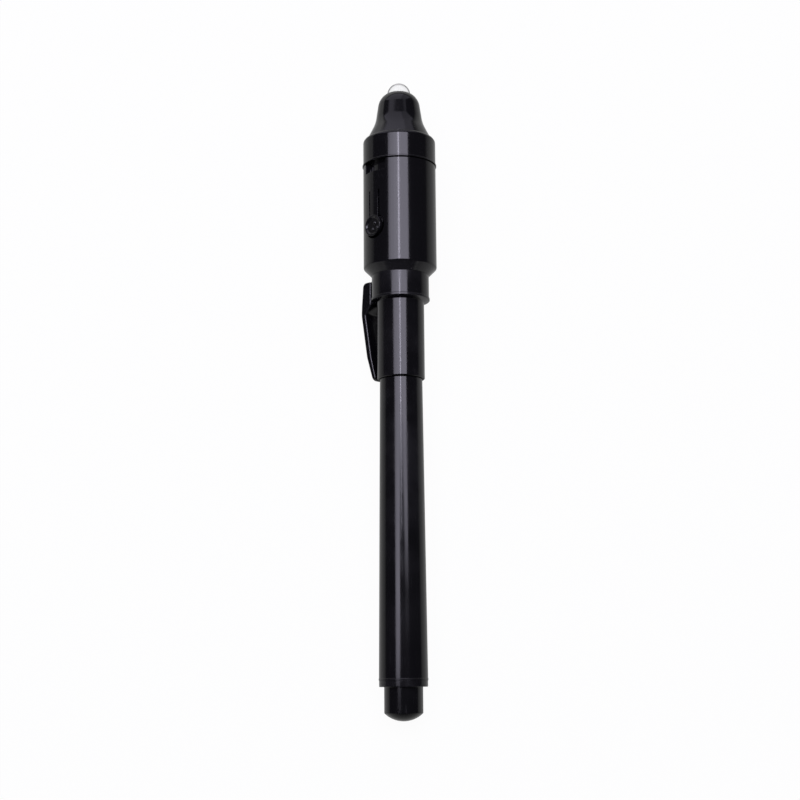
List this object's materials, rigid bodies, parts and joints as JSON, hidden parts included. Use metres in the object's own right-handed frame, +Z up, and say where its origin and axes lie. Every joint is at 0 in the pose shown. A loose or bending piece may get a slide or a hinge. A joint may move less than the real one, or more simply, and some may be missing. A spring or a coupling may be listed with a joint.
{
  "type": "uv invisible ink pen",
  "caption": "Capped marker pen with a lamp head on its cap: push button on a cut tongue, button-cell cartridge, bell-shaped nose with a clear lamp, and a side pocket clip.",
  "frame": {"origin": "middle of the pen's length, on the surface below its widest ring", "axes": "+Y along the pen towards the lamp, +Z up away from the surface it lies on"},
  "size_m": [0.0163, 0.136, 0.0159],
  "materials": {
    "black_gloss": "injection moulded, polished",
    "black_matte": "injection moulded, fine grain",
    "nib_fibre": "bonded fibre",
    "ink_fibre": "bonded fibre soaked in clear ink",
    "wrap_film": "thin film",
    "inner_cap_white": "soft moulding",
    "lamp_clear": "clear cast resin",
    "lamp_emitter": "bare chip",
    "tinned_lead": "tinned",
    "contact_nickel": "nickel-plated strip",
    "cell_steel": "nickel-plated steel",
    "cell_gasket": "moulded"
  },
  "bodies": {
    "pen": {"barrel": "black_gloss", "tail_plug": "black_gloss", "grip_section": "black_matte", "nib": "nib_fibre", "ink_reservoir": "ink_fibre", "reservoir_wrap": "wrap_film"},
    "cap": {"cap_sleeve": "black_gloss", "inner_cap": "inner_cap_white", "head_housing": "black_gloss"},
    "clip": {"pocket_clip": "black_gloss"},
    "button": {"push_button": "black_gloss"},
    "lamp": {"nose_ring": "black_gloss", "nose_cone": "black_gloss", "lamp_lens": "lamp_clear", "lamp_chip": "lamp_emitter", "anode_lead": "tinned_lead", "cathode_lead": "tinned_lead", "cell_holder": "black_matte", "positive_contact": "contact_nickel", "negative_contact": "contact_nickel", "cathode_strip": "contact_nickel", "cell_1_can": "cell_steel", "cell_1_gasket": "cell_gasket", "cell_1_lid": "cell_steel", "cell_2_can": "cell_steel", "cell_2_gasket": "cell_gasket", "cell_2_lid": "cell_steel", "cell_3_can": "cell_steel", "cell_3_gasket": "cell_gasket", "cell_3_lid": "cell_steel"},
    "blade": {"switch_blade": "contact_nickel"}
  },
  "joints": [
    {"name": "cap_pull", "type": "slide", "parent": "pen", "child": "cap", "axis": [0, 1, 0], "range_m": [0, 0.03]},
    {"name": "clip_flex", "type": "hinge", "parent": "cap", "child": "clip", "pos_m": [-0.0049, 0.02429, 0.00385], "axis": [0.6428, 0, -0.766], "range_deg": [0, 6], "stiffness_Nm_per_rad": 0.9},
    {"name": "button_press", "type": "hinge", "parent": "cap", "child": "button", "pos_m": [-0.00448, 0.0422, 0.01244], "axis": [0.7071, 0, 0.7071], "range_deg": [0, 3.4], "stiffness_Nm_per_rad": 0.32},
    {"name": "lamp_pull", "type": "slide", "parent": "cap", "child": "lamp", "axis": [0, 1, 0], "range_m": [0, 0.022]},
    {"name": "blade_flex", "type": "hinge", "parent": "lamp", "child": "blade", "pos_m": [-0.00361, 0.03044, 0.01157], "axis": [-0.7071, 0, -0.7071], "range_deg": [0, 8.17]}
  ],
  "couplings": [
    {"joint": "blade_flex", "follows": "button_press", "ratio": 2.4}
  ]
}
